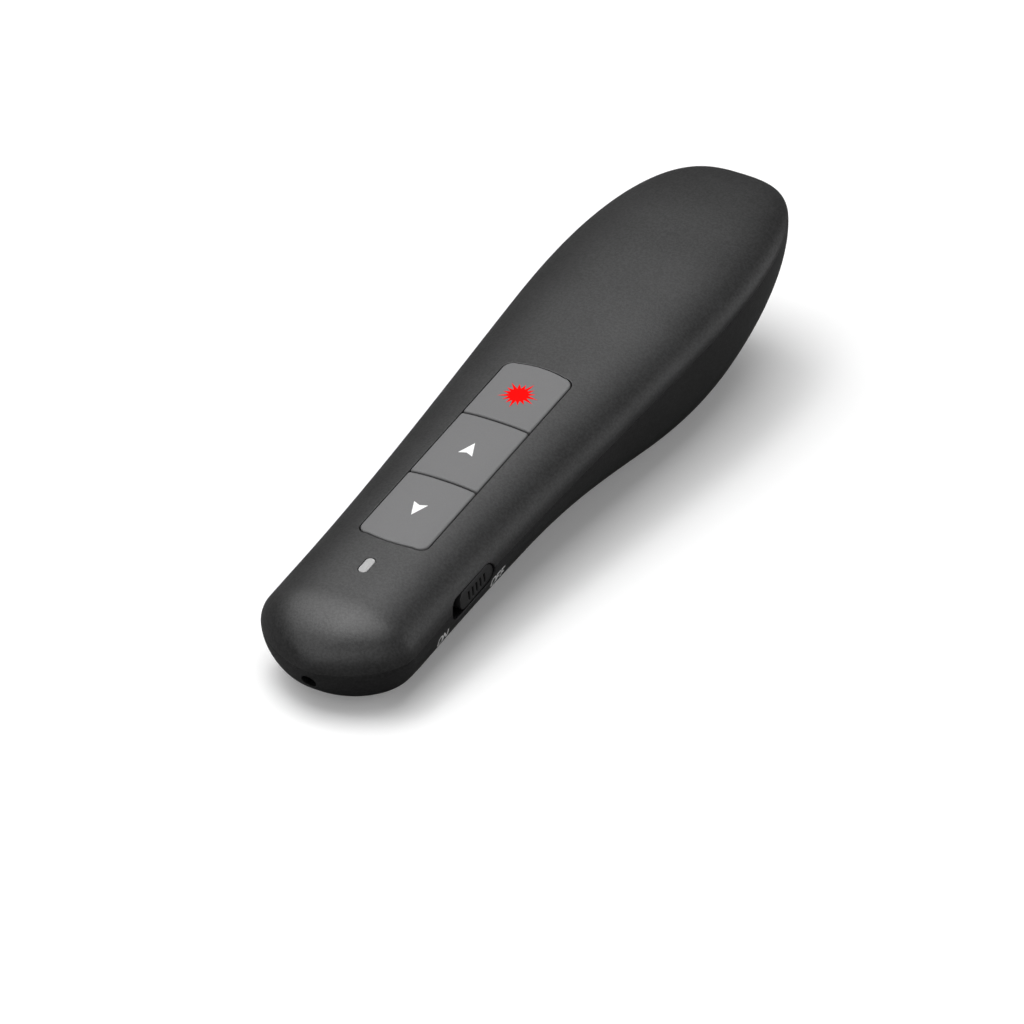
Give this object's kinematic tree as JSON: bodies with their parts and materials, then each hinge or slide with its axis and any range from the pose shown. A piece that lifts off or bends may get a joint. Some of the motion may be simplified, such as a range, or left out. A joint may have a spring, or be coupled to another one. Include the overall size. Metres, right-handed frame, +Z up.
{
  "type": "wireless presentation clicker",
  "caption": "Paddle-shaped hand remote with a column of crowned keys on top, a slide switch on its flank, a laser in its nose, a battery door below and a receiver stowed in its tail.",
  "frame": {"origin": "Centre of the bounding box at its bottom, on the surface that the remote rests on.", "axes": "+Y from the nose to the tail, +X to the side of the power switch, +Z up. The body lies nose down: its own axis is tilted 7.8 degrees, tail up, because the belly is deeper than the nose."},
  "size_m": [0.0326, 0.1288, 0.0269],
  "materials": {
    "shell_plastic": "fine-grained soft-touch black",
    "key_plastic": "fine matt mid grey",
    "knob_plastic": "satin black",
    "mark_red": "flat signal red",
    "mark_white": "flat white",
    "lamp_plastic": "frosted light-diffusing plastic",
    "emitter": "small resin lamp chip",
    "board": "green solder mask",
    "chip": "moulded black",
    "metal_can": "bright plated",
    "passives": "ceramic brown",
    "copper_trace": "gold plated",
    "tact_body": "black",
    "stem_plastic": "cream",
    "brass": "turned, satin",
    "lens": "clear",
    "cell_can": "plain satin can",
    "spring_steel": "nickel plated",
    "screw_steel": "black-oxide",
    "lead_red": "insulated wire",
    "lead_black": "insulated wire",
    "tongue_plastic": "white"
  },
  "bodies": {
    "housing": {"top_shell": "shell_plastic", "bottom_shell": "shell_plastic", "case_screws": "screw_steel", "lamp_window": "lamp_plastic", "lamp_chip": "emitter", "circuit_board": "board", "main_chip": "chip", "radio_chip": "chip", "crystal": "metal_can", "chip_parts": "passives", "antenna": "copper_trace", "laser_tact": "tact_body", "up_tact": "tact_body", "down_tact": "tact_body", "switch_frame": "metal_can", "laser_barrel": "brass", "laser_lens": "lens", "laser_diode": "metal_can", "laser_board": "board", "laser_leads": "lead_red", "cell_left": "cell_can", "cell_right": "cell_can", "contact_bridge": "spring_steel", "contact_tail_left": "spring_steel", "contact_tail_right": "spring_steel", "spring_left": "spring_steel", "spring_right": "spring_steel", "battery_leads": "lead_black"},
    "door": {"battery_door": "shell_plastic"},
    "laser_button": {"laser_key": "key_plastic", "laser_mark": "mark_red", "laser_stem": "stem_plastic"},
    "up_button": {"up_key": "key_plastic", "up_mark": "mark_white", "up_stem": "stem_plastic"},
    "down_button": {"down_key": "key_plastic", "down_mark": "mark_white", "down_stem": "stem_plastic"},
    "power_switch": {"power_knob": "knob_plastic", "switch_slider": "tact_body"},
    "receiver": {"receiver_cap": "knob_plastic", "receiver_plug": "metal_can", "receiver_tongue": "tongue_plastic"}
  },
  "joints": [
    {"name": "battery_door_swing", "type": "hinge", "parent": "housing", "child": "door", "pos_m": [0, 0.00002, 0.00328], "axis": [-1, 0, 0], "range_deg": [0, 40]},
    {"name": "laser_press", "type": "slide", "parent": "housing", "child": "laser_button", "axis": [0, 0.1358, -0.9907], "range_m": [0, 0.0003], "stiffness_N_per_m": 5300},
    {"name": "up_press", "type": "slide", "parent": "housing", "child": "up_button", "axis": [0, 0.1358, -0.9907], "range_m": [0, 0.0003], "stiffness_N_per_m": 5300},
    {"name": "down_press", "type": "slide", "parent": "housing", "child": "down_button", "axis": [0, 0.1358, -0.9907], "range_m": [0, 0.0003], "stiffness_N_per_m": 5300},
    {"name": "power_slide", "type": "slide", "parent": "housing", "child": "power_switch", "axis": [0, -0.9907, -0.1358], "range_m": [0, 0.0022]},
    {"name": "receiver_pull", "type": "slide", "parent": "housing", "child": "receiver", "axis": [0, 0.9907, 0.1358], "range_m": [0, 0.02]}
  ]
}
